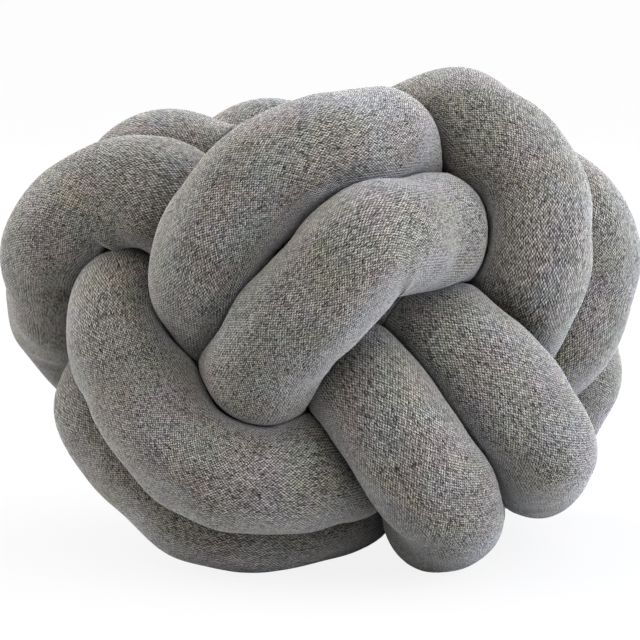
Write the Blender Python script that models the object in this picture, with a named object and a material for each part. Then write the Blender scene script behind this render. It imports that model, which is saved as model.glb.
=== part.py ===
"""Knot cushion: one stuffed tube of knitted jersey, tied into a ball by two turns round each way.

Run with: blender --background --python part.py
Metres, +Z up. The cushion stands on z = 0 with its front towards -Y, and the origin is the
middle of its box at floor level. Everything is one tube, so there is one solid. Its route is
a table of passes over and under; the tube then settles, so that strands that meet press each
other flat, and its skin is laid round it.
"""

import bpy
import numpy as np

# Driving sizes
TUBE_RADIUS = 0.0258       # of a stretch that nothing presses on
PRESSED_PITCH = 0.046      # between the middles of two strands that press on each other
FLOOR_PITCH = 0.0225       # least height of a strand's middle above the floor
CREASE_GAP = 0.0014        # left between two pressed strands, so that they stay apart
SLIMMEST = 0.97            # share of the radius that a stretch keeps at least where it is free
BULGE = 1.07               # share of the radius that a squeezed stretch swells to at most
FILLED_SHARE = 0.96        # of the round section's area, which a squeezed section tries to keep
TIGHTEST_BEND = 0.72       # share of the bend's radius that the inner side may take
ROUNDED_EDGE = 0.0017      # how softly a flat pressed face turns into the round side
OWN_STRETCH = 0.058        # a place presses on no other place nearer than this along the tube
LEAN_DEG = 7.0             # the table's front view looks down on the cushion by this
HEART_HEIGHT = 0.1100      # of the table's zero above the floor

# How the tube settles: shares of each round's pull, and how finely it is worked out
HOLD = 0.2                 # towards the table's places, times the pass's firmness
HOLD_REACH = (1.0, 0.6, 0.3)    # of the hold on the axis points next to a place
GRIP = (1.0, 1.0, 0.4)     # of the hold to the right, up and in depth: depth gives way most
STIFFNESS = 0.09           # against uneven bends
EVENNESS = 0.25            # towards an even spacing of the axis points
PUSH = 0.45                # between strands that are closer than the pressed pitch
SETTLE_ROUNDS = 300
AXIS_STEP = 0.0094         # between the points of the tube's axis
PER_SPAN = 12              # points drawn between two places of the table
FIELD_ROWS = 2             # rows of the radius field for each axis point
FIELD_SIDES = 48           # columns of the radius field, round the tube
SWELL_TRIES = 12           # halvings in the search for a squeezed ring's free radius
SWELL_SMOOTHING = 24       # rounds that even out that radius along the tube
RINGS = 300                # of the solid
SIDES = 16                 # of the solid

JERSEY_GREY = (0.19, 0.18, 0.17, 1.0)
JERSEY_ROUGHNESS = 0.95
JERSEY_SHEEN = 0.4

# The tube's route, from the tucked-in start to the tucked-in end. Each row is one pass:
# how firmly its places hold while the tube settles, and its places in centimetres from
# the knot's heart: to the right, up, and towards the front, seen from the front.
FIRM, LOOSE, SLACK = 1.5, 0.5, 0.12
PASSES = (
    ("tucked_start", SLACK, (0.0, -4.8, -2.6), (-1.3, -4.2, 0.8)),
    ("front_lower", FIRM, (-2.9, -2.5, 5.2), (-2.2, -1.2, 8.4), (-0.7, 0.3, 10.2),
     (1.3, 2.6, 10.6), (2.7, 3.65, 9.4), (4.1, 3.9, 6.4)),
    ("behind_right", SLACK, (5.2, 3.4, 1.6), (7.8, 1.7, -3.0)),
    ("back_lower", FIRM, (11.6, -0.6, -5.8), (12.5, -2.6, -7.4), (11.0, -5.4, -8.8), (8.5, -7.3, -9.4)),
    ("back_lower_end", FIRM, (5.4, -7.6, -10.2), (1.8, -7.4, -9.6), (-1.7, -5.6, -7.4)),
    ("behind_left", SLACK, (-4.5, -2.7, -2.5)),
    ("front_upper", FIRM, (-4.9, -0.2, 3.0), (-4.85, 1.8, 7.0), (-4.2, 4.1, 8.8), (-2.6, 6.0, 9.2),
     (0.0, 7.2, 8.8), (2.0, 7.2, 7.2), (3.4, 6.3, 4.0)),
    ("behind_top", SLACK, (4.0, 5.0, -1.0), (6.3, 2.3, -7.5)),
    ("back_upper", LOOSE, (2.8, -1.4, -10.4), (-2.1, -2.0, -10.8), (-6.8, -1.9, -9.0)),
    ("left_outer", FIRM, (-10.8, -1.2, -4.6), (-12.3, 0.8, -1.6), (-12.3, 2.8, 0.6),
     (-10.95, 4.6, 2.3), (-8.9, 5.5, 3.3), (-6.7, 5.2, 3.8)),
    ("under_front_left", SLACK, (-3.6, 3.2, 4.0), (-0.6, -0.3, 4.2)),
    ("foot_left", FIRM, (1.8, -2.5, 6.4), (3.1, -4.4, 7.8), (4.1, -6.1, 8.1), (5.1, -7.4, 7.2),
     (5.6, -8.4, 4.5), (5.4, -8.5, 0.8)),
    ("under_back_left", SLACK, (4.3, -6.8, -3.8), (2.0, -3.7, -6.0), (-2.8, 1.5, -7.8), (-7.5, 4.0, -7.2)),
    ("left_inner", FIRM, (-9.3, 5.3, -4.0), (-8.5, 6.5, -1.1), (-7.0, 7.2, 0.1), (-4.95, 6.6, 0.4),
     (-3.25, 5.55, 1.6)),
    ("under_front_right", SLACK, (-0.7, 4.2, 3.2), (2.3, 2.2, 4.4)),
    ("foot_right", FIRM, (5.6, -0.8, 5.8), (7.5, -2.5, 6.8), (8.9, -4.1, 6.6), (9.75, -5.3, 5.2),
     (9.9, -6.1, 2.2)),
    ("under_back_right", SLACK, (10.1, -6.3, -2.5), (7.4, -3.7, -5.8), (4.1, 0.7, -6.0),
     (2.5, 3.5, -7.4), (-1.8, 4.8, -7.2), (-5.8, 2.7, -4.8), (-8.5, -0.5, -3.0)),
    ("cradle_outer", FIRM, (-9.6, -3.2, -0.5), (-8.95, -5.5, 1.2), (-7.4, -7.4, 2.2),
     (-5.25, -8.55, 3.1), (-2.7, -9.1, 3.2), (-0.1, -8.4, 1.4)),
    ("under_feet_back", SLACK, (3.4, -6.2, -0.6), (7.6, -3.7, -1.6)),
    ("right_outer", FIRM, (10.6, -1.2, -1.2), (12.3, 1.7, -0.8), (12.4, 4.3, -0.8), (10.8, 5.7, -1.6)),
    ("top_back", FIRM, (7.3, 6.7, -3.9), (2.6, 6.8, -4.8), (-0.4, 7.9, -5.2), (-2.4, 8.2, -5.2)),
    ("under_top_left", SLACK, (-4.6, 5.2, -4.8), (-6.2, 2.8, -1.2)),
    ("cradle_inner", FIRM, (-8.0, 1.9, 2.4), (-8.3, 0.1, 4.4), (-8.2, -2.2, 5.6), (-7.3, -4.3, 6.3),
     (-5.5, -5.8, 6.7), (-3.3, -6.6, 6.7), (-0.9, -6.6, 6.0)),
    ("under_feet_front", SLACK, (2.3, -5.3, 3.4), (5.5, -3.2, 2.2)),
    ("right_inner", FIRM, (8.1, -0.8, 2.6), (8.8, 1.5, 4.2), (9.0, 3.9, 5.0), (8.9, 6.5, 4.8),
     (7.3, 7.95, 4.0), (5.1, 8.75, 2.2), (2.9, 7.5, 0.2)),
    ("tucked_end", SLACK, (0.7, 5.6, -0.5), (-0.2, 2.6, -1.6), (-0.4, -0.2, -2.6)),
)
CM = 0.01


def unit(vectors):
    return vectors / np.linalg.norm(vectors, axis=-1, keepdims=True)


def spaced(points, count):
    """The open line through points, read at count even steps, and how far along each point is."""
    run = np.concatenate([[0.0], np.cumsum(np.linalg.norm(np.diff(points, axis=0), axis=1))])
    at = np.linspace(0.0, run[-1], count)
    return np.stack([np.interp(at, run, column) for column in points.T], axis=1), run


def curve_through(places):
    """A centripetal Catmull-Rom curve through the places, PER_SPAN points for each gap."""
    knots = np.vstack([2 * places[0] - places[1], places, 2 * places[-1] - places[-2]])
    curve = []
    for first in range(len(places) - 1):
        a, b, c, d = knots[first:first + 4]
        ta = 0.0
        tb = ta + np.linalg.norm(b - a) ** 0.5
        tc = tb + np.linalg.norm(c - b) ** 0.5
        td = tc + np.linalg.norm(d - c) ** 0.5
        t = np.linspace(tb, tc, PER_SPAN, endpoint=False)[:, None]
        ab = ((tb - t) * a + (t - ta) * b) / (tb - ta)
        bc = ((tc - t) * b + (t - tb) * c) / (tc - tb)
        cd = ((td - t) * c + (t - tc) * d) / (td - tc)
        abc = ((tc - t) * ab + (t - ta) * bc) / (tc - ta)
        bcd = ((td - t) * bc + (t - tb) * cd) / (td - tb)
        curve.append(((tc - t) * abc + (t - tb) * bcd) / (tc - tb))
    return np.vstack(curve + [places[-1:]])


def settled_axis():
    """The tube's axis, after the strands of the drawn route have pushed each other apart."""
    places = np.array([place for _, _, *places in PASSES for place in places]) * CM
    firmness = np.array([firm for _, firm, *places in PASSES for _ in places])
    drawn = curve_through(places)
    length = spaced(drawn, 2)[1][-1]
    count = int(round(length / AXIS_STEP)) + 1
    axis, run = spaced(drawn, count)
    held = np.round(run[::PER_SPAN] / length * (count - 1)).astype(int)
    order = np.arange(count)
    up = up_direction()
    for _ in range(SETTLE_ROUNDS):
        pull = HOLD * firmness[:, None] * GRIP * (places - axis[held])
        for offset, share in enumerate(HOLD_REACH):
            for side in {offset, -offset}:
                spot = np.clip(held + side, 0, count - 1)
                np.add.at(axis, spot, share * pull)
        bend = np.zeros_like(axis)
        bend[1:-1] = axis[:-2] + axis[2:] - 2 * axis[1:-1]
        spring = np.zeros_like(axis)
        spring[1:-1] = bend[:-2] + bend[2:] - 2 * bend[1:-1]
        axis -= STIFFNESS * spring
        links = np.diff(axis, axis=0)
        reach = np.linalg.norm(links, axis=1)
        step = reach.mean()
        even = EVENNESS * ((reach - step) / reach)[:, None] * links
        axis[:-1] += even
        axis[1:] -= even
        apart = axis[:, None] - axis[None]
        distance = np.linalg.norm(apart, axis=2) + 1e-9
        other = np.abs(order[:, None] - order[None]) * step > OWN_STRETCH
        press = np.where(other, np.maximum(0.0, PRESSED_PITCH - distance), 0.0)
        touching = np.maximum(1, (press > 0).sum(axis=1))
        axis += PUSH * (press[..., None] * apart / distance[..., None]).sum(axis=1) / touching[:, None]
        sunk = np.maximum(0.0, FLOOR_PITCH - HEART_HEIGHT - axis @ up)
        axis += sunk[:, None] * up
    return axis


def spline(values, rows):
    """A uniform cubic B-spline down the first axis of values, read at the given rows."""
    last = len(values) - 1
    base = np.clip(rows.astype(int), 0, last - 1)
    t = (rows - base).reshape((-1,) + (1,) * (values.ndim - 1))
    before, here, after, beyond = (values[np.clip(base + k, 0, last)] for k in (-1, 0, 1, 2))
    return ((1 - t) ** 3 * before + (3 * t**3 - 6 * t**2 + 4) * here
            + (3 * t + 3 * t**2 - 3 * t**3 + 1) * after + t**3 * beyond) / 6


def ring_frames(axis):
    """The axis's direction at each point, and two square to it that never twist round it."""
    along = unit(np.gradient(axis, axis=0))
    side = np.zeros_like(along)
    side[0] = unit(np.cross(along[0], (0.0, 0.0, 1.0)))
    for i in range(1, len(axis)):
        side[i] = unit(side[i - 1] - (side[i - 1] @ along[i]) * along[i])
    return along, side, np.cross(along, side)


def rays(side, lift, sides):
    """The directions from each ring's middle to its points: rings x sides x 3."""
    angle = np.linspace(0.0, 2 * np.pi, sides, endpoint=False)[None, :, None]
    return np.cos(angle) * side[:, None] + np.sin(angle) * lift[:, None]


def up_direction():
    """The way up, in the table's right, up and front directions."""
    lean = np.radians(LEAN_DEG)
    return np.array([0.0, np.cos(lean), np.sin(lean)])


def room_round(axis):
    """How far the skin can reach from each ring's middle before it meets another strand."""
    along, side, lift = ring_frames(axis)
    ray = rays(side, lift, FIELD_SIDES)
    step = np.linalg.norm(np.diff(axis, axis=0), axis=1).mean()
    curl = np.gradient(along, axis=0) / step
    inward = (curl[:, None] * ray).sum(axis=2)
    room = TIGHTEST_BEND / np.maximum(inward, 1e-3)
    own = int(OWN_STRETCH / step)
    for i, middle in enumerate(axis):
        others = np.delete(axis, slice(max(0, i - own), i + own + 1), axis=0) - middle
        squares = (others**2).sum(axis=1)
        close = squares < (4 * TUBE_RADIUS) ** 2
        facing = np.maximum(ray[i] @ others[close].T, 1e-6)
        halfway = squares[close] / (2 * facing)
        room[i] = np.minimum(room[i], halfway.min(axis=1, initial=1.0) - CREASE_GAP / 2)
    return room


def lowest_nearby(field):
    """Each value's lowest neighbour, so that wide flat facets don't cut into a strand they press."""
    rows = np.pad(field, ((1, 1), (0, 0)), mode="edge")
    field = np.minimum(np.minimum(rows[:-2], rows[1:-1]), rows[2:])
    return np.minimum(np.minimum(np.roll(field, 1, axis=1), field), np.roll(field, -1, axis=1))


def radius_field(axis):
    """The skin's radius at each ring and angle: round where free, flat where it is pressed."""
    room = room_round(axis)
    target = FILLED_SHARE * np.pi * TUBE_RADIUS**2
    low = np.full(len(axis), SLIMMEST * TUBE_RADIUS)
    high = np.full(len(axis), BULGE * TUBE_RADIUS)
    for _ in range(SWELL_TRIES):
        free = (low + high) / 2
        radius = np.minimum(room, free[:, None])
        area = np.pi / FIELD_SIDES * (radius**2).sum(axis=1)
        low = np.where(area < target, free, low)
        high = np.where(area < target, high, free)
    for _ in range(SWELL_SMOOTHING):
        free[1:-1] = (free[:-2] + 2 * free[1:-1] + free[2:]) / 4
    return -ROUNDED_EDGE * np.log(np.exp(-room / ROUNDED_EDGE) + np.exp(-free[:, None] / ROUNDED_EDGE))


def skin(rings, sides):
    """The skin's points, rings x sides x 3, and the two ends of the axis, seen from the front."""
    coarse = settled_axis()
    rows = np.linspace(0, len(coarse) - 1, FIELD_ROWS * len(coarse))
    axis = spline(coarse, rows)
    field = lowest_nearby(radius_field(axis))
    pick = np.linspace(0, len(axis) - 1, rings + 2)
    middle = spline(axis, pick)
    _, side, lift = (unit(spline(part, pick)) for part in ring_frames(axis))
    radius = spline(field, pick)
    around = np.linspace(0, FIELD_SIDES, sides, endpoint=False) + 2
    wrapped = np.concatenate([radius[:, -2:], radius, radius[:, :3]], axis=1)
    radius = spline(wrapped.T, around).T
    gone = np.minimum(np.arange(rings + 2), np.arange(rings + 2)[::-1])
    step = np.linalg.norm(np.diff(middle, axis=0), axis=1).mean()
    cap = np.clip(1 - gone * step / TUBE_RADIUS, 0.0, 1.0)
    radius = radius * np.sqrt(1 - cap**2)[:, None]
    points = middle[:, None] + radius[..., None] * rays(side, lift, sides)
    return points[1:-1], middle[[0, -1]]


def stood_up(points):
    """Points of the table's front view, tipped back by the lean and pressed flat on the floor."""
    lean = np.radians(LEAN_DEG)
    right, up, front = points[..., 0], points[..., 1], points[..., 2]
    away = up * np.sin(lean) - front * np.cos(lean)
    height = points @ up_direction() + HEART_HEIGHT
    return np.stack([right, away, np.maximum(height, 0.0)], axis=-1)


def tube_mesh(name, points, ends):
    """One closed tube: bands of four-sided faces between the rings, and a fan at each end."""
    rings, sides = points.shape[:2]
    corners = np.concatenate([points.reshape(-1, 3), ends])
    start, end = len(corners) - 2, len(corners) - 1
    faces = []
    for ring in range(rings - 1):
        for k in range(sides):
            near, far = ring * sides, (ring + 1) * sides
            nxt = (k + 1) % sides
            faces.append((near + k, near + nxt, far + nxt, far + k))
    last = (rings - 1) * sides
    for k in range(sides):
        nxt = (k + 1) % sides
        faces.append((start, nxt, k))
        faces.append((end, last + k, last + nxt))
    mesh = bpy.data.meshes.new(name)
    mesh.from_pydata(corners.tolist(), [], faces)
    mesh.shade_smooth()
    return mesh


def jersey():
    material = bpy.data.materials.new("grey_jersey")
    material.use_nodes = True
    shader = material.node_tree.nodes["Principled BSDF"]
    shader.inputs["Base Color"].default_value = JERSEY_GREY
    shader.inputs["Roughness"].default_value = JERSEY_ROUGHNESS
    shader.inputs["Sheen Weight"].default_value = JERSEY_SHEEN
    return material


def main():
    for old in list(bpy.data.objects):
        bpy.data.objects.remove(old, do_unlink=True)
    points, ends = skin(RINGS, SIDES)
    points, ends = stood_up(points), stood_up(ends)
    middle = (points.min(axis=(0, 1)) + points.max(axis=(0, 1))) / 2
    shift = np.array([middle[0], middle[1], 0.0])
    tube = bpy.data.objects.new("knot_tube", tube_mesh("knot_tube", points - shift, ends - shift))
    tube.data.materials.append(jersey())
    bpy.context.scene.collection.objects.link(tube)


if __name__ == "__main__":
    main()
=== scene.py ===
"""Looks of the knot cushion: one stuffed tube of grey knitted jersey, tied into a ball.

The tube's route and the way it settles are those of the solid, laid out more finely here: the
skin follows where strands press on each other and on the floor, with its fold and its uneven
stuffing. It carries a map of its knit, a stitch column and a row for each point, and how open
each point lies, and the jersey material draws both: the knit with painted shade in the gaps
between its stitches, and the openness as painted shade in the creases and where the tube meets
the floor. Metres, +Z up, front towards -Y.
"""

import math

import bpy
import numpy as np
from bpy.props import FloatProperty, FloatVectorProperty, IntProperty, PointerProperty
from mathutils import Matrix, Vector


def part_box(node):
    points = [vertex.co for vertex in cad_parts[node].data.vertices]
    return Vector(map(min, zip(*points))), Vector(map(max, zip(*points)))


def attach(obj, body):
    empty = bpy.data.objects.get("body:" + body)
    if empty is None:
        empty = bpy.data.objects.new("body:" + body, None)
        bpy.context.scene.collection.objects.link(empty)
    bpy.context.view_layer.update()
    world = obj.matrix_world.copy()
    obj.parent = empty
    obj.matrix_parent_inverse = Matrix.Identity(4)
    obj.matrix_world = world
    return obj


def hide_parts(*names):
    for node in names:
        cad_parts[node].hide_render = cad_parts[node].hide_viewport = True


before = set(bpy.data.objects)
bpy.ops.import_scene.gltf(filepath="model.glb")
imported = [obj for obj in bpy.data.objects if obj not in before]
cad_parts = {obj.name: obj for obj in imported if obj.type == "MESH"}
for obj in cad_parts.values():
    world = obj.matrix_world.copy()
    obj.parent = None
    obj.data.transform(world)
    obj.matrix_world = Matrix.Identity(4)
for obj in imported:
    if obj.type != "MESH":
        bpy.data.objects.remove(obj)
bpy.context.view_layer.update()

bl_info = {
    "name": "Knot Cushion",
    "version": (1, 0, 0),
    "blender": (4, 5, 0),
    "location": "View3D > Sidebar > Knot Cushion",
    "description": "A ball-shaped knot cushion tied from one stuffed tube of knitted jersey",
    "category": "Add Mesh",
}

# The tube's route, from the tucked-in start to the tucked-in end. Each row is one pass: how
# firmly its places hold while the tube settles, and its places in centimetres from the knot's
# heart: to the right, up, and towards the front, seen from the front.
FIRM, LOOSE, SLACK = 1.5, 0.5, 0.12
PASSES = (
    ("tucked_start", SLACK, (0.0, -4.8, -2.6), (-1.3, -4.2, 0.8)),
    ("front_lower", FIRM, (-2.9, -2.5, 5.2), (-2.2, -1.2, 8.4), (-0.7, 0.3, 10.2),
     (1.3, 2.6, 10.6), (2.7, 3.65, 9.4), (4.1, 3.9, 6.4)),
    ("behind_right", SLACK, (5.2, 3.4, 1.6), (7.8, 1.7, -3.0)),
    ("back_lower", FIRM, (11.6, -0.6, -5.8), (12.5, -2.6, -7.4), (11.0, -5.4, -8.8), (8.5, -7.3, -9.4)),
    ("back_lower_end", FIRM, (5.4, -7.6, -10.2), (1.8, -7.4, -9.6), (-1.7, -5.6, -7.4)),
    ("behind_left", SLACK, (-4.5, -2.7, -2.5)),
    ("front_upper", FIRM, (-4.9, -0.2, 3.0), (-4.85, 1.8, 7.0), (-4.2, 4.1, 8.8), (-2.6, 6.0, 9.2),
     (0.0, 7.2, 8.8), (2.0, 7.2, 7.2), (3.4, 6.3, 4.0)),
    ("behind_top", SLACK, (4.0, 5.0, -1.0), (6.3, 2.3, -7.5)),
    ("back_upper", LOOSE, (2.8, -1.4, -10.4), (-2.1, -2.0, -10.8), (-6.8, -1.9, -9.0)),
    ("left_outer", FIRM, (-10.8, -1.2, -4.6), (-12.3, 0.8, -1.6), (-12.3, 2.8, 0.6),
     (-10.95, 4.6, 2.3), (-8.9, 5.5, 3.3), (-6.7, 5.2, 3.8)),
    ("under_front_left", SLACK, (-3.6, 3.2, 4.0), (-0.6, -0.3, 4.2)),
    ("foot_left", FIRM, (1.8, -2.5, 6.4), (3.1, -4.4, 7.8), (4.1, -6.1, 8.1), (5.1, -7.4, 7.2),
     (5.6, -8.4, 4.5), (5.4, -8.5, 0.8)),
    ("under_back_left", SLACK, (4.3, -6.8, -3.8), (2.0, -3.7, -6.0), (-2.8, 1.5, -7.8), (-7.5, 4.0, -7.2)),
    ("left_inner", FIRM, (-9.3, 5.3, -4.0), (-8.5, 6.5, -1.1), (-7.0, 7.2, 0.1), (-4.95, 6.6, 0.4),
     (-3.25, 5.55, 1.6)),
    ("under_front_right", SLACK, (-0.7, 4.2, 3.2), (2.3, 2.2, 4.4)),
    ("foot_right", FIRM, (5.6, -0.8, 5.8), (7.5, -2.5, 6.8), (8.9, -4.1, 6.6), (9.75, -5.3, 5.2),
     (9.9, -6.1, 2.2)),
    ("under_back_right", SLACK, (10.1, -6.3, -2.5), (7.4, -3.7, -5.8), (4.1, 0.7, -6.0),
     (2.5, 3.5, -7.4), (-1.8, 4.8, -7.2), (-5.8, 2.7, -4.8), (-8.5, -0.5, -3.0)),
    ("cradle_outer", FIRM, (-9.6, -3.2, -0.5), (-8.95, -5.5, 1.2), (-7.4, -7.4, 2.2),
     (-5.25, -8.55, 3.1), (-2.7, -9.1, 3.2), (-0.1, -8.4, 1.4)),
    ("under_feet_back", SLACK, (3.4, -6.2, -0.6), (7.6, -3.7, -1.6)),
    ("right_outer", FIRM, (10.6, -1.2, -1.2), (12.3, 1.7, -0.8), (12.4, 4.3, -0.8), (10.8, 5.7, -1.6)),
    ("top_back", FIRM, (7.3, 6.7, -3.9), (2.6, 6.8, -4.8), (-0.4, 7.9, -5.2), (-2.4, 8.2, -5.2)),
    ("under_top_left", SLACK, (-4.6, 5.2, -4.8), (-6.2, 2.8, -1.2)),
    ("cradle_inner", FIRM, (-8.0, 1.9, 2.4), (-8.3, 0.1, 4.4), (-8.2, -2.2, 5.6), (-7.3, -4.3, 6.3),
     (-5.5, -5.8, 6.7), (-3.3, -6.6, 6.7), (-0.9, -6.6, 6.0)),
    ("under_feet_front", SLACK, (2.3, -5.3, 3.4), (5.5, -3.2, 2.2)),
    ("right_inner", FIRM, (8.1, -0.8, 2.6), (8.8, 1.5, 4.2), (9.0, 3.9, 5.0), (8.9, 6.5, 4.8),
     (7.3, 7.95, 4.0), (5.1, 8.75, 2.2), (2.9, 7.5, 0.2)),
    ("tucked_end", SLACK, (0.7, 5.6, -0.5), (-0.2, 2.6, -1.6), (-0.4, -0.2, -2.6)),
)
CM = 0.01

# How the tube settles, as the solid does
PRESSED_PITCH = 0.046      # between the middles of two strands that press on each other
FLOOR_PITCH = 0.0225       # least height of a strand's middle above the floor
OWN_STRETCH = 0.058        # a place presses on no other place nearer than this along the tube
HEART_HEIGHT = 0.1100      # of the table's zero above the floor
LEAN = math.radians(7.0)   # the table's front view looks down on the cushion by this
HOLD = 0.2                 # towards the table's places, times the pass's firmness
HOLD_REACH = (1.0, 0.6, 0.3)    # of the hold on the axis points next to a place
GRIP = (1.0, 1.0, 0.4)     # of the hold to the right, up and in depth: depth gives way most
STIFFNESS = 0.09           # against uneven bends
EVENNESS = 0.25            # towards an even spacing of the axis points
PUSH = 0.45                # between strands that are closer than the pressed pitch
SETTLE_ROUNDS = 300
AXIS_STEP = 0.0094         # between the points of the tube's axis
PER_SPAN = 12              # points drawn between two places of the table
TINY = 1e-9                # keeps a division from being by nothing

# How finely the skin is worked out
FIELD_ROWS = 3             # rows of the radius field for each axis point
FIELD_SIDES = 72           # columns of the radius field, round the tube
SWELL_TRIES = 12           # halvings in the search for a squeezed ring's free radius
SWELL_SMOOTHING = 50       # rounds that even out that radius along the tube

# Uneven stuffing: the lengths of its waves along the tube, how many times each winds round it,
# and the seed of their phases
LUMP_WAVES = (0.075, 0.052, 0.038, 0.029, 0.021)
LUMP_TURNS = (0, 1, 2, 3, 5)
LUMP_SEED = 7

# Folds that bends press into the jersey: the middle in the table's centimetres, and how deep and
# how wide the trough is and how far it runs across the tube, in millimetres.
FOLDS = (
    ("notch_in_left_outer", (-9.7, 3.7, 3.6), 4.0, 2.6, 13.0),
)
MM = 0.001
FOLD_RINGS = 40            # rings that a fold may move, on each side of its middle
FOLD_BEHIND = 0.03         # what lies further in than this from a fold's middle stays
FOLD_SWELL = 0.45          # height of the swelling on both sides of the trough, of its depth
FOLD_SWELL_AWAY = 2.2      # how far the swelling is from the trough, in the trough's widths
FOLD_SWELL_WIDTH = 1.2     # how wide it is, in the same

# How a stitch is drawn
LEG_SLANT = 1.1            # rows that a leg climbs from the middle of its column to the edge
LEG_DIP = 0.6              # a leg's ends are lower than its middle by the square of this
HOLES = 0.6                # how deep the small holes between the legs are, of the stitch's height
HOLE_TURN = 1.9            # how far up a row the holes in a column's middle lie, of a turn of 2 pi

# Melange yarn: each leg of a stitch, and each tuft of fibres in it, has a tone by chance. A row
# gives the tone's name, how many cells of it a stitch column and a row of stitches hold, and how
# far its tones lie apart, of the way from dark to light fibres.
YARN_TONES = (
    ("Leg Tone", 2.0, 1.0, 0.15),
    ("Fibre Tone", 3.0, 3.0, 1.05),
)
# Drifts of tone: how many a metre, their detail, and how much they lighten
FLECKS = (
    (60.0, 0.0, 0.14),
)
# Drifts of colour: how many a metre, their detail, and how much they tint red, green and blue
TINTS = (
    (45.0, 1.0, (0.26, 0.16, 0.34)),
    (420.0, 0.0, (0.12, 0.08, 0.16)),
)
PAINTED_RIM_EDGE = 3.0             # power that the painted rim highlight falls off by, from the edge inwards: the fuzz lit from behind, painted into the colour
LIGHTEST = 0.85            # the jersey's colour is nowhere lighter than this

# The studio's soft light panels: how far each one's middle is turned to the right from the
# camera's side and how high it stands, in degrees, its strength and its tint.
PANELS = (
    ("overhead", 0.0, 90.0, 2.1, (1.0, 1.0, 1.0)),
    ("behind_right", 120.0, 8.0, 6.0, (0.9, 1.0, 1.35)),
    ("behind_left", 240.0, 8.0, 6.6, (1.0, 1.0, 1.03)),
    ("right", 55.0, 8.0, 2.8, (0.96, 0.99, 1.14)),
    ("front_high", 30.0, 50.0, 1.4, (1.1, 1.02, 0.88)),
)
PANEL_EDGE = 4.0           # power that a panel's light falls off by, from its middle


class KnotTubeSizes(bpy.types.PropertyGroup):
    radius: FloatProperty(
        name="Tube radius", description="Radius of a stretch that nothing presses on",
        default=0.0258, min=0.01, unit="LENGTH")
    crease_gap: FloatProperty(
        name="Crease gap", description="Left between two strands that press on each other",
        default=0.0004, min=0.0001, unit="LENGTH")
    # Painted shade: how far beside a crease, and beside the floor contact, the colour is drawn darker
    crease_reach: FloatProperty(
        name="Crease reach", description="How far a crease darkens the jersey beside it, in tube radii",
        default=0.2, min=0.01)
    rounded_edge: FloatProperty(
        name="Rounded edge", description="How softly a pressed face turns into the round side",
        default=0.0012, min=0.0003, unit="LENGTH")
    slimmest: FloatProperty(
        name="Slimmest", description="Share of the radius kept where the tube is free",
        subtype="FACTOR", default=0.98, min=0.0, max=1.0)
    bulge: FloatProperty(
        name="Bulge", description="Share of the radius that a squeezed stretch swells to",
        default=1.07, min=1.0)
    filled_share: FloatProperty(
        name="Filled share", description="Share of the round section's area kept when squeezed",
        subtype="FACTOR", default=0.97, min=0.0, max=1.0)
    tightest_bend: FloatProperty(
        name="Tightest bend", description="Share of a bend's radius that its inner side may take",
        subtype="FACTOR", default=0.86, min=0.0, max=1.0)
    lumps: FloatProperty(
        name="Lumps", description="Height of the uneven stuffing under the jersey",
        default=0.0005, unit="LENGTH")
    rings: IntProperty(name="Rings", description="Rings of the mesh along the tube", default=1480)
    sides: IntProperty(name="Sides", description="Points of each ring", default=66)


class JerseyFinish(bpy.types.PropertyGroup):
    light_yarn: FloatVectorProperty(
        name="Light fibres", description="Colour of the yarn's light fibres", subtype="COLOR",
        size=4, default=(0.775, 0.732, 0.638, 1.0))
    dark_yarn: FloatVectorProperty(
        name="Dark fibres", description="Colour of the yarn's dark fibres", subtype="COLOR",
        size=4, default=(0.02, 0.019, 0.017, 1.0))
    # Painted shade in the knit: these two draw the gaps between the stitches darker than their crowns
    gaps: FloatProperty(
        name="Gaps", description="How light the gaps between the stitches are, next to their crowns",
        subtype="FACTOR", default=0.1, min=0.0, max=1.0)
    depth: FloatProperty(
        name="Gap depth", description="How quickly the tone falls off from a stitch's crown to its gaps",
        default=1.6, min=0.5, max=4.0)
    # Painted shade: how dark the colour is drawn deep in a crease and where the tube meets the floor
    painted_crease_shade: FloatProperty(
        name="Crease tone", description="How light the jersey is deep in a crease, next to the open",
        subtype="FACTOR", default=0.55, min=0.0, max=1.0)
    fuzz: FloatProperty(
        name="Fuzz", description="Weight of the fine fuzz that catches grazing light",
        subtype="FACTOR", default=0.55, min=0.0, max=1.0)
    # Painted highlight: how much lighter the colour is drawn where the jersey is seen edge on, for its fuzz
    # lit from behind
    painted_rim_light: FloatProperty(
        name="Rim", description="How much lighter the fuzz makes the jersey seen edge on", default=0.9,
        min=0.0)
    stitch_columns: IntProperty(
        name="Stitch columns", description="Stitch columns round the tube", default=118)
    row_height: FloatProperty(
        name="Row height", description="Height of one row of stitches", default=0.00125,
        unit="LENGTH", precision=5)
    relief: FloatProperty(
        name="Relief", description="Height of the stitches' relief", default=0.0005,
        unit="LENGTH", precision=5)


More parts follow.
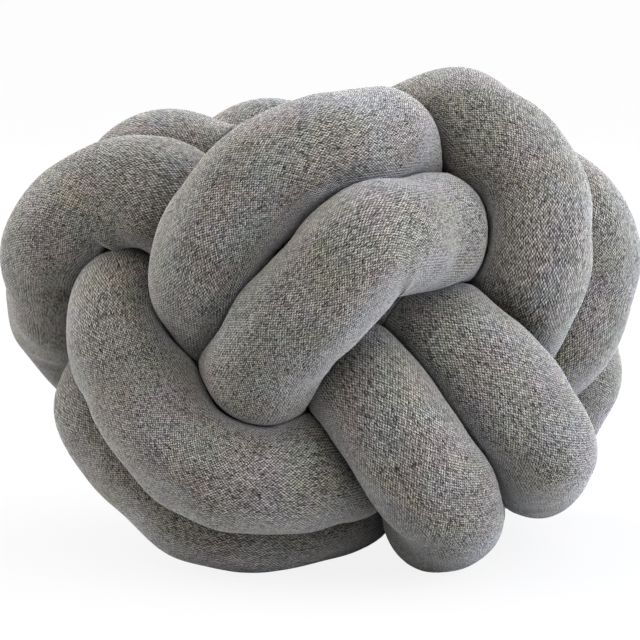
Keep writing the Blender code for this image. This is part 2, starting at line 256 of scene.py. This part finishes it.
class StudioStage(bpy.types.PropertyGroup):
    floor_colour: FloatVectorProperty(
        name="Floor colour", description="Colour of the pale floor", subtype="COLOR",
        size=4, default=(0.5, 0.5, 0.5, 1.0))
    panels: FloatProperty(
        name="Panels", description="Strength of the soft light panels, times the table's", default=1.0)
    dimmest: FloatProperty(
        name="Dimmest", description="Light from the walls where no panel is", default=0.02)
    lamp_power: FloatProperty(
        name="Lamp power", description="Power of the soft lamp close by on the right",
        default=1.15, unit="POWER")
    lamp_width: FloatProperty(
        name="Lamp width", description="Width of that lamp's square face", default=0.35,
        unit="LENGTH")
    lamp_colour: FloatVectorProperty(
        name="Lamp colour", description="Colour of that lamp's light", subtype="COLOR",
        size=3, default=(0.74, 0.84, 1.0))
    lamp_place: FloatVectorProperty(
        name="Lamp place", description="Where that lamp is from the knot's heart",
        subtype="TRANSLATION", unit="LENGTH", size=3, default=(0.48, -0.3, 0.16))
    white: FloatProperty(
        name="White", description="How bright the walls look to the camera", default=1.0)
    lift: FloatProperty(
        name="Floor lift", description="Share of plain white that the camera sees over the floor",
        subtype="FACTOR", default=0.87, min=0.0, max=1.0)
    camera_distance: FloatProperty(
        name="Camera distance", description="From the camera to the knot's heart", default=1.2,
        unit="LENGTH")
    lens: FloatProperty(
        name="Lens", description="The camera's focal length", default=143.1, unit="CAMERA")


# The tube's shape

def unit(vectors):
    return vectors / np.linalg.norm(vectors, axis=-1, keepdims=True)


def spaced(points, count):
    """The open line through points, read at count even steps, and how far along each point is."""
    run = np.concatenate([[0.0], np.cumsum(np.linalg.norm(np.diff(points, axis=0), axis=1))])
    at = np.linspace(0.0, run[-1], count)
    return np.stack([np.interp(at, run, column) for column in points.T], axis=1), run


def curve_through(places):
    """A centripetal Catmull-Rom curve through the places, PER_SPAN points for each gap."""
    knots = np.vstack([2 * places[0] - places[1], places, 2 * places[-1] - places[-2]])
    curve = []
    for first in range(len(places) - 1):
        a, b, c, d = knots[first:first + 4]
        ta = 0.0
        tb = ta + np.linalg.norm(b - a) ** 0.5
        tc = tb + np.linalg.norm(c - b) ** 0.5
        td = tc + np.linalg.norm(d - c) ** 0.5
        t = np.linspace(tb, tc, PER_SPAN, endpoint=False)[:, None]
        ab = ((tb - t) * a + (t - ta) * b) / (tb - ta)
        bc = ((tc - t) * b + (t - tb) * c) / (tc - tb)
        cd = ((td - t) * c + (t - tc) * d) / (td - tc)
        abc = ((tc - t) * ab + (t - ta) * bc) / (tc - ta)
        bcd = ((td - t) * bc + (t - tb) * cd) / (td - tb)
        curve.append(((tc - t) * abc + (t - tb) * bcd) / (tc - tb))
    return np.vstack(curve + [places[-1:]])


def up_direction():
    """The way up, in the table's right, up and front directions."""
    return np.array([0.0, math.cos(LEAN), math.sin(LEAN)])


def settled_axis():
    """The tube's axis, after the strands of the drawn route have pushed each other apart."""
    places = np.array([place for _, _, *places in PASSES for place in places]) * CM
    firmness = np.array([firm for _, firm, *places in PASSES for _ in places])
    drawn = curve_through(places)
    length = spaced(drawn, 2)[1][-1]
    count = int(round(length / AXIS_STEP)) + 1
    axis, run = spaced(drawn, count)
    held = np.round(run[::PER_SPAN] / length * (count - 1)).astype(int)
    order = np.arange(count)
    up = up_direction()
    for _ in range(SETTLE_ROUNDS):
        pull = HOLD * firmness[:, None] * GRIP * (places - axis[held])
        for offset, share in enumerate(HOLD_REACH):
            for side in {offset, -offset}:
                spot = np.clip(held + side, 0, count - 1)
                np.add.at(axis, spot, share * pull)
        bend = np.zeros_like(axis)
        bend[1:-1] = axis[:-2] + axis[2:] - 2 * axis[1:-1]
        spring = np.zeros_like(axis)
        spring[1:-1] = bend[:-2] + bend[2:] - 2 * bend[1:-1]
        axis -= STIFFNESS * spring
        links = np.diff(axis, axis=0)
        reach = np.linalg.norm(links, axis=1)
        step = reach.mean()
        even = EVENNESS * ((reach - step) / reach)[:, None] * links
        axis[:-1] += even
        axis[1:] -= even
        apart = axis[:, None] - axis[None]
        distance = np.linalg.norm(apart, axis=2) + TINY
        other = np.abs(order[:, None] - order[None]) * step > OWN_STRETCH
        press = np.where(other, np.maximum(0.0, PRESSED_PITCH - distance), 0.0)
        touching = np.maximum(1, (press > 0).sum(axis=1))
        axis += PUSH * (press[..., None] * apart / distance[..., None]).sum(axis=1) / touching[:, None]
        sunk = np.maximum(0.0, FLOOR_PITCH - HEART_HEIGHT - axis @ up)
        axis += sunk[:, None] * up
    return axis


def spline(values, rows):
    """A uniform cubic B-spline down the first axis of values, read at the given rows."""
    last = len(values) - 1
    base = np.clip(rows.astype(int), 0, last - 1)
    t = (rows - base).reshape((-1,) + (1,) * (values.ndim - 1))
    before, here, after, beyond = (values[np.clip(base + k, 0, last)] for k in (-1, 0, 1, 2))
    return ((1 - t) ** 3 * before + (3 * t**3 - 6 * t**2 + 4) * here
            + (3 * t + 3 * t**2 - 3 * t**3 + 1) * after + t**3 * beyond) / 6


def ring_frames(axis):
    """The axis's direction at each point, and two square to it that never twist round it."""
    along = unit(np.gradient(axis, axis=0))
    side = np.zeros_like(along)
    side[0] = unit(np.cross(along[0], (0.0, 0.0, 1.0)))
    for i in range(1, len(axis)):
        side[i] = unit(side[i - 1] - (side[i - 1] @ along[i]) * along[i])
    return along, side, np.cross(along, side)


def rays(side, lift, sides):
    """The directions from each ring's middle to its points: rings x sides x 3."""
    angle = np.linspace(0.0, 2 * np.pi, sides, endpoint=False)[None, :, None]
    return np.cos(angle) * side[:, None] + np.sin(angle) * lift[:, None]


def room_round(axis, sizes):
    """How far the skin can reach from each ring's middle before it meets a strand or the floor."""
    along, side, lift = ring_frames(axis)
    ray = rays(side, lift, FIELD_SIDES)
    step = np.linalg.norm(np.diff(axis, axis=0), axis=1).mean()
    curl = np.gradient(along, axis=0) / step
    inward = (curl[:, None] * ray).sum(axis=2)
    room = sizes.tightest_bend / np.maximum(inward, TINY)
    own = int(OWN_STRETCH / step)
    for i, middle in enumerate(axis):
        others = np.delete(axis, slice(max(0, i - own), i + own + 1), axis=0) - middle
        squares = (others**2).sum(axis=1)
        close = squares < (4 * sizes.radius) ** 2
        facing = np.maximum(ray[i] @ others[close].T, TINY)
        halfway = squares[close] / (2 * facing)
        room[i] = np.minimum(room[i], halfway.min(axis=1, initial=1.0) - sizes.crease_gap / 2)
    height = axis @ up_direction() + HEART_HEIGHT
    downward = np.maximum(-(ray @ up_direction()), TINY)
    return np.minimum(room, height[:, None] / downward)


def soft_lower(a, b, softness):
    """The lower of a and b, rounded off where they are alike."""
    return -softness * np.log(np.exp(-a / softness) + np.exp(-b / softness))


def radius_field(axis, sizes):
    """The skin's radius at each ring and angle, round where free and flat where it is pressed, and
    how open it lies there: 0 in a crease and 1 away from it."""
    room = room_round(axis, sizes)
    target = sizes.filled_share * np.pi * sizes.radius**2
    low = np.full(len(axis), sizes.slimmest * sizes.radius)
    high = np.full(len(axis), sizes.bulge * sizes.radius)
    for _ in range(SWELL_TRIES):
        free = (low + high) / 2
        radius = np.minimum(room, free[:, None])
        area = np.pi / FIELD_SIDES * (radius**2).sum(axis=1)
        low = np.where(area < target, free, low)
        high = np.where(area < target, high, free)
    for _ in range(SWELL_SMOOTHING):
        free[1:-1] = (free[:-2] + 2 * free[1:-1] + free[2:]) / 4
    radius = soft_lower(room, free[:, None], sizes.rounded_edge)
    return radius, 1 - np.exp(-np.maximum(room / radius - 1, 0.0) / sizes.crease_reach)


def read_round(field, pick, sides):
    """A field of FIELD_SIDES columns, read at the picked rings and at sides even steps round."""
    rows = spline(field, pick)
    wrapped = np.concatenate([rows[:, -2:], rows, rows[:, :3]], axis=1)
    return spline(wrapped.T, np.linspace(0, FIELD_SIDES, sides, endpoint=False) + 2).T


def lumps(rings, sides, length, sizes):
    """Low, uneven swellings of the stuffing: waves of a few lengths and turns that cross."""
    far = np.linspace(0.0, length, rings)[:, None]
    turn = np.linspace(0.0, 2 * np.pi, sides, endpoint=False)[None]
    rng = np.random.default_rng(LUMP_SEED)
    height = np.zeros((rings, sides))
    for wave in LUMP_WAVES:
        for turns in LUMP_TURNS:
            phase, way = rng.uniform(0, 2 * np.pi, 2)
            height += wave * np.sin(2 * np.pi * far / wave + turns * turn * np.sign(way - np.pi) + phase)
    return sizes.lumps * height / height.std()


def pressed_folds(points, middle, along):
    """Moves the skin in at each fold's trough and out a little on both sides of it."""
    for _, place, deep, wide, run in FOLDS:
        away = np.linalg.norm(points - np.array(place) * CM, axis=2)
        ring, column = np.unravel_index(away.argmin(), away.shape)
        spot = points[ring, column]
        out = unit(spot - middle[ring])
        across = np.cross(along[ring], out)
        near = slice(max(0, ring - FOLD_RINGS), ring + FOLD_RINGS)
        offset = points[near] - spot
        far_along = offset @ along[ring] / (wide * MM)
        far_across = offset @ across / (run * MM)
        fade = np.exp(-far_across**2) * (offset @ out > -FOLD_BEHIND)
        beside = (np.abs(far_along) - FOLD_SWELL_AWAY) / FOLD_SWELL_WIDTH
        trough = np.exp(-far_along**2) - FOLD_SWELL * np.exp(-beside**2)
        outward = unit(points[near] - middle[near][:, None])
        points[near] -= deep * MM * (fade * trough)[..., None] * outward
    return points


def skin(sizes):
    """The skin's points, rings x sides x 3, how open each lies, the two ends of the axis, all seen
    from the front, and the step from ring to ring."""
    coarse = settled_axis()
    rows = np.linspace(0, len(coarse) - 1, FIELD_ROWS * len(coarse))
    axis = spline(coarse, rows)
    rings = sizes.rings + 2
    pick = np.linspace(0, len(axis) - 1, rings)
    middle = spline(axis, pick)
    along, side, lift = (unit(spline(part, pick)) for part in ring_frames(axis))
    radius, openness = (read_round(field, pick, sizes.sides) for field in radius_field(axis, sizes))
    step = np.linalg.norm(np.diff(middle, axis=0), axis=1).mean()
    radius += lumps(rings, sizes.sides, step * (rings - 1), sizes)
    order = np.arange(rings)
    from_end = np.minimum(order, order[::-1])
    cap = np.clip(1 - from_end * step / sizes.radius, 0.0, 1.0)
    radius = radius * np.sqrt(1 - cap**2)[:, None]
    points = middle[:, None] + radius[..., None] * rays(side, lift, sizes.sides)
    points = pressed_folds(points, middle, along)
    return points[1:-1], openness[1:-1], middle[[0, -1]], step


def stood_up(points):
    """Points of the table's front view, tipped back by the lean and pressed flat on the floor."""
    right, up, front = points[..., 0], points[..., 1], points[..., 2]
    away = up * math.sin(LEAN) - front * math.cos(LEAN)
    height = points @ up_direction() + HEART_HEIGHT
    return np.stack([right, away, np.maximum(height, 0.0)], axis=-1)


def tube_mesh(name, points, ends, openness, columns, rows_per_ring):
    """One closed tube with its knit map, the stitch column and row of every face corner, and how
    open each point lies."""
    rings, sides = points.shape[:2]
    corners = np.concatenate([points.reshape(-1, 3), ends])
    start, end = len(corners) - 2, len(corners) - 1
    ring, k = np.meshgrid(np.arange(rings - 1), np.arange(sides), indexing="ij")
    ring, k = ring.ravel(), k.ravel()
    nxt = (k + 1) % sides
    near, far = ring * sides, (ring + 1) * sides
    band = np.stack([near + k, near + nxt, far + nxt, far + k], 1)
    turn = np.arange(sides)
    after = (turn + 1) % sides
    last = (rings - 1) * sides
    first_fan = np.stack([np.full(sides, start), after, turn], 1)
    last_fan = np.stack([np.full(sides, end), last + turn, last + after], 1)
    mesh = bpy.data.meshes.new(name)
    mesh.from_pydata(corners.tolist(), [], band.tolist() + first_fan.tolist() + last_fan.tolist())
    mesh.shade_smooth()
    per_side = columns / sides
    column = np.stack([k, k + 1, k + 1, k], 1) * per_side
    row = np.stack([ring, ring, ring + 1, ring + 1], 1) * rows_per_ring
    first_map = np.stack([np.stack([turn, turn + 1, turn], 1) * per_side,
                          np.tile([-1, 0, 0], (sides, 1))], -1)
    last_map = np.stack([np.stack([turn, turn, turn + 1], 1) * per_side,
                         np.tile([rings, rings - 1, rings - 1], (sides, 1)) * rows_per_ring], -1)
    knit = np.concatenate([np.stack([column, row], -1).reshape(-1, 2),
                           first_map.reshape(-1, 2), last_map.reshape(-1, 2)])
    layer = mesh.uv_layers.new(name="knit")
    layer.uv.foreach_set("vector", knit.astype(np.float32).ravel())
    lies_open = np.concatenate([openness.ravel(), [1.0, 1.0]]).astype(np.float32)
    mesh.attributes.new("openness", "FLOAT", "POINT").data.foreach_set("value", lies_open)
    return mesh


# Materials

def feed(tree, value, socket):
    """Links value to the socket where it comes from another node, and else sets the socket to it."""
    if isinstance(value, bpy.types.NodeSocket):
        tree.links.new(value, socket)
    else:
        socket.default_value = value


def calc(tree, operation, *values):
    """One Math node's result."""
    node = tree.nodes.new("ShaderNodeMath")
    node.operation = operation
    for value, socket in zip(values, node.inputs):
        feed(tree, value, socket)
    return node.outputs[0]


def vector_calc(tree, operation, *values):
    """One Vector Math node's result."""
    node = tree.nodes.new("ShaderNodeVectorMath")
    node.operation = operation
    for value, socket in zip(values, node.inputs):
        feed(tree, value, socket)
    return node.outputs["Value" if operation == "DOT_PRODUCT" else "Vector"]


def shown_to_camera(tree, shader, other, share, output):
    """Ends the tree in shader, and for what the camera sees straight away in a share of other."""
    path = tree.nodes.new("ShaderNodeLightPath")
    mix = tree.nodes.new("ShaderNodeMixShader")
    tree.links.new(calc(tree, "MULTIPLY", path.outputs["Is Camera Ray"], share), mix.inputs[0])
    tree.links.new(shader, mix.inputs[1])
    tree.links.new(other, mix.inputs[2])
    tree.links.new(mix.outputs[0], tree.nodes[output].inputs["Surface"])


def noise(tree, where, scale, detail=2.0, output="Fac"):
    """A Noise Texture's tone, or its colour, at where."""
    node = tree.nodes.new("ShaderNodeTexNoise")
    feed(tree, where, node.inputs["Vector"])
    node.inputs["Scale"].default_value = scale
    node.inputs["Detail"].default_value = detail
    return node.outputs[output]


def mixed(tree, share, first, second):
    """A colour between first and second."""
    node = tree.nodes.new("ShaderNodeMix")
    node.data_type = "RGBA"
    for value, name in ((share, "Factor_Float"), (first, "A_Color"), (second, "B_Color")):
        feed(tree, value, next(s for s in node.inputs if s.identifier == name))
    return next(s for s in node.outputs if s.identifier == "Result_Color")


def new_group(name, inputs, outputs):
    """An empty shader group with these sockets, and its input and output nodes."""
    group = bpy.data.node_groups.new(name, "ShaderNodeTree")
    for label, kind, start in inputs:
        socket = group.interface.new_socket(label, in_out="INPUT", socket_type=kind)
        if start is not None:
            socket.default_value = start
    for label, kind in outputs:
        group.interface.new_socket(label, in_out="OUTPUT", socket_type=kind)
    return group, group.nodes.new("NodeGroupInput"), group.nodes.new("NodeGroupOutput")


def stitch_group():
    """Jersey's face: each stitch column is a stack of Vs, of two plump slanting legs each."""
    tones = [(label, "NodeSocketFloat") for label, *_ in YARN_TONES]
    group, given, made = new_group(
        "jersey_stitches",
        [("Knit", "NodeSocketVector", None), ("Slant", "NodeSocketFloat", LEG_SLANT)],
        [("Height", "NodeSocketFloat")] + tones)
    parts = group.nodes.new("ShaderNodeSeparateXYZ")
    group.links.new(given.outputs["Knit"], parts.inputs[0])
    column, row = parts.outputs["X"], parts.outputs["Y"]
    off_middle = calc(group, "PINGPONG", calc(group, "SUBTRACT", column, 0.5), 0.5)
    out = calc(group, "MULTIPLY", off_middle, 2.0)
    along_leg = calc(group, "SUBTRACT", row, calc(group, "MULTIPLY", out, given.outputs["Slant"]))
    across = calc(group, "SUBTRACT", calc(group, "MULTIPLY", calc(group, "FRACT", along_leg), 2.0), 1.0)
    plump = calc(group, "SUBTRACT", 1.0, calc(group, "MULTIPLY", across, across))
    lean = calc(group, "MULTIPLY_ADD", out, 2 * LEG_DIP, -LEG_DIP)
    crown = calc(group, "SUBTRACT", 1.0, calc(group, "MULTIPLY", lean, lean))
    column_wave = calc(group, "COSINE", calc(group, "MULTIPLY", column, 2 * math.pi))
    row_wave = calc(group, "COSINE", calc(group, "MULTIPLY_ADD", row, 2 * math.pi, -HOLE_TURN))
    dots = calc(group, "MULTIPLY", column_wave, row_wave)
    full = calc(group, "MULTIPLY_ADD", dots, HOLES / 2, 1 - HOLES / 2)
    height = calc(group, "MULTIPLY", calc(group, "MULTIPLY", plump, crown), full)
    group.links.new(height, made.inputs["Height"])
    for label, per_column, per_row, _ in YARN_TONES:
        cell = group.nodes.new("ShaderNodeCombineXYZ")
        group.links.new(calc(group, "FLOOR", calc(group, "MULTIPLY", column, per_column)), cell.inputs["X"])
        group.links.new(calc(group, "FLOOR", calc(group, "MULTIPLY", along_leg, per_row)), cell.inputs["Y"])
        chance = group.nodes.new("ShaderNodeTexWhiteNoise")
        chance.noise_dimensions = "2D"
        group.links.new(cell.outputs[0], chance.inputs["Vector"])
        group.links.new(chance.outputs["Value"], made.inputs[label])
    return group


def heather_group():
    """Melange yarn: how light the fibres are at a point, and the tint they take there."""
    tones = [(label, "NodeSocketFloat", 0.5) for label, *_ in YARN_TONES]
    group, given, made = new_group(
        "heather_flecks",
        [("Place", "NodeSocketVector", None)] + tones,
        [("Lightness", "NodeSocketFloat"), ("Tint", "NodeSocketColor")])
    place = given.outputs["Place"]
    light = 0.5 - sum(contrast for *_, contrast in YARN_TONES) / 2
    for label, *_, contrast in YARN_TONES:
        light = calc(group, "MULTIPLY_ADD", given.outputs[label], contrast, light)
    for scale, detail, amount in FLECKS:
        light = calc(group, "MULTIPLY_ADD", noise(group, place, scale, detail), amount,
                     calc(group, "SUBTRACT", light, amount / 2))
    group.links.new(light, made.inputs["Lightness"])
    tint = (1.0, 1.0, 1.0)
    for scale, detail, amounts in TINTS:
        hue = noise(group, place, scale, detail, "Color")
        tint = vector_calc(group, "MULTIPLY_ADD", hue, amounts,
                           vector_calc(group, "SUBTRACT", tint, tuple(part / 2 for part in amounts)))
    group.links.new(tint, made.inputs["Tint"])
    return group


def placed(tree, group):
    """The group's node, set into the tree."""
    node = tree.nodes.new("ShaderNodeGroup")
    node.node_tree = group
    return node


def jersey_material(finish):
    """Soft grey weft-knitted jersey of mottled yarn, slightly fuzzy, with painted shade in its stitch gaps
    and creases and a painted highlight along its edges.
    """
    material = bpy.data.materials.new("grey_jersey")
    material.use_nodes = True
    tree = material.node_tree
    shader = tree.nodes["Principled BSDF"]
    knit_map = tree.nodes.new("ShaderNodeUVMap")
    knit_map.uv_map = "knit"
    place = tree.nodes.new("ShaderNodeTexCoord").outputs["Object"]
    stitches = placed(tree, stitch_group())
    tree.links.new(knit_map.outputs["UV"], stitches.inputs["Knit"])
    heather = placed(tree, heather_group())
    tree.links.new(place, heather.inputs["Place"])
    for label, *_ in YARN_TONES:
        tree.links.new(stitches.outputs[label], heather.inputs[label])
    yarn = mixed(tree, heather.outputs["Lightness"], tuple(finish.dark_yarn), tuple(finish.light_yarn))
    # Painted shade: the colour is drawn darker from each stitch's crown into the gaps between stitches
    deep = calc(tree, "POWER", stitches.outputs["Height"], finish.depth)
    shade = calc(tree, "MULTIPLY_ADD", deep, 1.0 - finish.gaps, finish.gaps)
    # Painted shade: the colour is drawn darker where the skin lies little open, in the creases and where
    # the tube meets the floor
    openness = tree.nodes.new("ShaderNodeAttribute")
    openness.attribute_name = "openness"
    painted_shade_in_creases = calc(tree, "MULTIPLY_ADD", openness.outputs["Fac"], 1.0 - finish.painted_crease_shade,
                  finish.painted_crease_shade)
    toned = vector_calc(tree, "MULTIPLY", yarn, heather.outputs["Tint"])
    toned = vector_calc(tree, "MULTIPLY", toned, calc(tree, "MULTIPLY", shade, painted_shade_in_creases))
    # Painted highlight: the colour grows lighter towards the edges seen edge on, standing in for the fuzz
    # lit from behind
    edge = tree.nodes.new("ShaderNodeLayerWeight")
    edge.inputs["Blend"].default_value = 0.5
    painted_rim_light = calc(tree, "MULTIPLY_ADD", calc(tree, "POWER", edge.outputs["Facing"], PAINTED_RIM_EDGE), finish.painted_rim_light, 1.0)
    toned = vector_calc(tree, "MINIMUM", vector_calc(tree, "MULTIPLY", toned, painted_rim_light), (LIGHTEST,) * 3)
    tree.links.new(toned, shader.inputs["Base Color"])
    bump = tree.nodes.new("ShaderNodeBump")
    bump.inputs["Strength"].default_value = 0.8
    bump.inputs["Distance"].default_value = finish.relief
    tree.links.new(stitches.outputs["Height"], bump.inputs["Height"])
    tree.links.new(bump.outputs["Normal"], shader.inputs["Normal"])
    shader.inputs["Roughness"].default_value = 0.95
    shader.inputs["Specular IOR Level"].default_value = 0.1
    shader.inputs["Sheen Weight"].default_value = finish.fuzz
    shader.inputs["Sheen Roughness"].default_value = 0.18
    return material


def floor_material(stage):
    """Pale matt studio floor with a faint drift of tone."""
    material = bpy.data.materials.new("pale_floor")
    material.use_nodes = True
    tree = material.node_tree
    shader = tree.nodes["Principled BSDF"]
    place = tree.nodes.new("ShaderNodeTexCoord").outputs["Object"]
    drift = noise(tree, place, 1.5)
    paler = tuple(min(1.0, part * 1.03) for part in stage.floor_colour[:3]) + (1.0,)
    tree.links.new(mixed(tree, drift, tuple(stage.floor_colour), paler), shader.inputs["Base Color"])
    shader.inputs["Roughness"].default_value = 0.9
    white = tree.nodes.new("ShaderNodeEmission")
    white.inputs["Strength"].default_value = stage.white
    shown_to_camera(tree, shader.outputs[0], white.outputs[0], stage.lift, "Material Output")
    return material


# Operators

class KNOT_OT_tube(bpy.types.Operator):
    """Lays out the settled tube of jersey, with its folds and its knit"""
    bl_idname = "knot_cushion.tube"
    bl_label = "Knotted tube"

    def execute(self, context):
        sizes, finish = context.scene.knot_tube, context.scene.knot_jersey
        points, openness, ends, step = skin(sizes)
        points, ends = stood_up(points), stood_up(ends)
        low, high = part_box("knot_tube")
        shift = (points.min(axis=(0, 1)) + points.max(axis=(0, 1)) - np.array(low) - np.array(high)) / 2
        shift[2] = 0.0
        mesh = tube_mesh("knotted_tube", points - shift, ends - shift, openness,
                         finish.stitch_columns, step / finish.row_height)
        tube = bpy.data.objects.new("knotted_tube", mesh)
        tube.data.materials.append(jersey_material(finish))
        context.scene.collection.objects.link(tube)
        tube["heart"] = [-shift[0], -shift[1], HEART_HEIGHT]
        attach(tube, "root")
        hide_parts("knot_tube")
        return {"FINISHED"}


class KNOT_OT_stage(bpy.types.Operator):
    """Sets the pale floor, the soft lights and the camera"""
    bl_idname = "knot_cushion.stage"
    bl_label = "Floor, lights and camera"

    def execute(self, context):
        stage = context.scene.knot_stage
        heart = Vector(bpy.data.objects["knotted_tube"]["heart"])
        self.floor(context, stage)
        self.studio(context, stage)
        self.side_lamp(context, stage, heart)
        self.camera(context, stage, heart)
        return {"FINISHED"}

    def floor(self, context, stage):
        """A floor whose far end bends up into a wall."""
        half, bend, tall, steps = 4.0, 0.8, 3.0, 12
        profile = [(-half, 0.0)]
        for i in range(steps + 1):
            angle = math.pi / 2 * i / steps
            profile.append((half + bend * math.sin(angle), bend * (1 - math.cos(angle))))
        profile.append((half + bend, tall))
        corners = [(x, y, z) for y, z in profile for x in (-half, half)]
        faces = [(2 * i, 2 * i + 1, 2 * i + 3, 2 * i + 2) for i in range(len(profile) - 1)]
        mesh = bpy.data.meshes.new("pale_floor")
        mesh.from_pydata(corners, [], faces)
        mesh.shade_smooth()
        floor = bpy.data.objects.new("pale_floor", mesh)
        floor.data.materials.append(floor_material(stage))
        context.scene.collection.objects.link(floor)

    def studio(self, context, stage):
        """Soft light from the panels all round, with walls that look white to the camera."""
        world = bpy.data.worlds.new("studio")
        world.use_nodes = True
        tree = world.node_tree
        toward = tree.nodes.new("ShaderNodeTexCoord").outputs["Generated"]
        light = (stage.dimmest, stage.dimmest, stage.dimmest)
        for _, turn, rise, strength, tint in PANELS:
            turn, rise = math.radians(turn), math.radians(rise)
            middle = (math.sin(turn) * math.cos(rise), -math.cos(turn) * math.cos(rise), math.sin(rise))
            facing = calc(tree, "MAXIMUM", vector_calc(tree, "DOT_PRODUCT", toward, middle), 0.0)
            lit = tuple(stage.panels * strength * part for part in tint)
            light = vector_calc(tree, "MULTIPLY_ADD", calc(tree, "POWER", facing, PANEL_EDGE), lit, light)
        shining = tree.nodes["Background"]
        tree.links.new(light, shining.inputs["Color"])
        seen = tree.nodes.new("ShaderNodeBackground")
        seen.inputs["Color"].default_value = (1.0, 1.0, 1.0, 1.0)
        seen.inputs["Strength"].default_value = stage.white
        shown_to_camera(tree, shining.outputs[0], seen.outputs[0], 1.0, "World Output")
        context.scene.world = world
        context.scene.view_settings.view_transform = "Standard"

    def side_lamp(self, context, stage, heart):
        """A soft cool lamp close by on the right, whose light falls off across the cushion."""
        light = bpy.data.lights.new("side_lamp", "AREA")
        light.energy = stage.lamp_power
        light.size = stage.lamp_width
        light.color = stage.lamp_colour
        lamp = bpy.data.objects.new("side_lamp", light)
        away = Vector(stage.lamp_place)
        lamp.location = heart + away
        lamp.rotation_euler = away.to_track_quat("Z", "Y").to_euler()
        lamp.visible_camera = False
        context.scene.collection.objects.link(lamp)

    def camera(self, context, stage, heart):
        """The photo's view of the front, looking down by the lean."""
        lens = bpy.data.cameras.new("photo_view")
        lens.lens = stage.lens
        lens.sensor_width = 36.0
        camera = bpy.data.objects.new("photo_view", lens)
        back = Vector((0.0, -math.cos(LEAN), math.sin(LEAN)))
        camera.location = heart + back * stage.camera_distance
        camera.rotation_euler = (math.pi / 2 - LEAN, 0.0, 0.0)
        context.scene.collection.objects.link(camera)
        context.scene.camera = camera


class KNOT_PT_panel(bpy.types.Panel):
    """The knot cushion's pieces and settings"""
    bl_idname = "KNOT_PT_panel"
    bl_label = "Knot Cushion"
    bl_space_type = "VIEW_3D"
    bl_region_type = "UI"
    bl_category = "Knot Cushion"

    def draw(self, context):
        for settings, operator in (
                (context.scene.knot_tube, KNOT_OT_tube.bl_idname),
                (context.scene.knot_jersey, None),
                (context.scene.knot_stage, KNOT_OT_stage.bl_idname)):
            column = self.layout.box().column()
            for name in settings.__annotations__:
                column.prop(settings, name)
            if operator:
                column.operator(operator)


CLASSES = (KnotTubeSizes, JerseyFinish, StudioStage, KNOT_OT_tube, KNOT_OT_stage, KNOT_PT_panel)


def register():
    for cls in CLASSES:
        bpy.utils.register_class(cls)
    bpy.types.Scene.knot_tube = PointerProperty(type=KnotTubeSizes)
    bpy.types.Scene.knot_jersey = PointerProperty(type=JerseyFinish)
    bpy.types.Scene.knot_stage = PointerProperty(type=StudioStage)


def unregister():
    del bpy.types.Scene.knot_stage
    del bpy.types.Scene.knot_jersey
    del bpy.types.Scene.knot_tube
    for cls in reversed(CLASSES):
        bpy.utils.unregister_class(cls)


def main():
    register()
    bpy.ops.knot_cushion.tube()
    bpy.ops.knot_cushion.stage()


if __name__ == "__main__":
    main()
